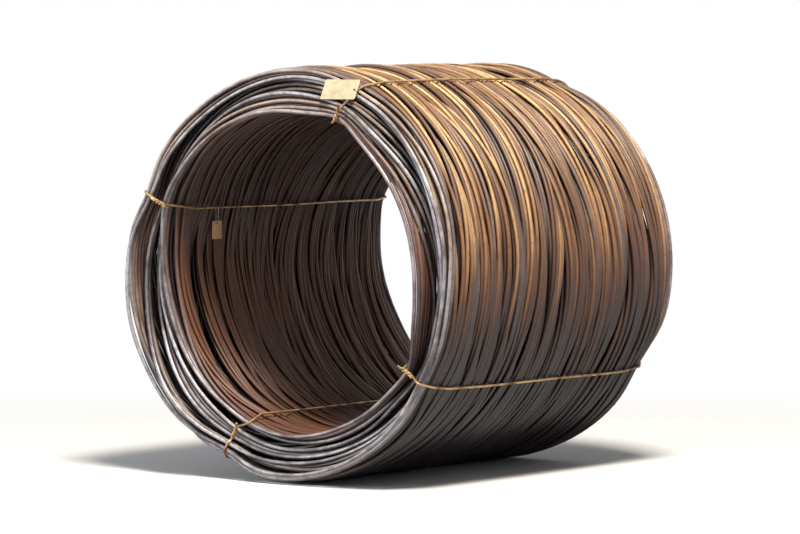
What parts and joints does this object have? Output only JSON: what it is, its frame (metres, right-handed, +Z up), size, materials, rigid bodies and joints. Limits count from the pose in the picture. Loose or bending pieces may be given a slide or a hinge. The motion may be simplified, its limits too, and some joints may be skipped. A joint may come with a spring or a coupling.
{
  "type": "coil of wire rod",
  "caption": "Loose-wound coil of hot rolled steel wire rod lying on its side, with an open eye, held by tie wires and carrying two bare tags.",
  "frame": {"origin": "on the floor under the middle of the coil, which is the bottom centre of its box", "axes": "+Y along the coil's axis from its front end, which has the knots and the pale tag, to its back end; +Z up; +X to the right seen from the front end"},
  "size_m": [1.2498, 1.2, 1.2498],
  "materials": {
    "rod": "hot rolled, mill scale with rust dust",
    "tie_wire": "hot rolled wire, lightly rusted",
    "tag_wire": "dull drawn wire",
    "pale_tag": "matt, dusty, blank",
    "tan_tag": "matt, dusty, blank"
  },
  "bodies": {
    "root": {"rod_coil": "rod", "tie_upper_right": "tie_wire", "tie_upper_left": "tie_wire", "tie_lower_left": "tie_wire", "tie_lower_right": "tie_wire", "face_tag": "pale_tag", "face_tag_ring": "tag_wire", "bore_tag": "tan_tag", "bore_tag_loop": "tag_wire"}
  },
  "joints": []
}
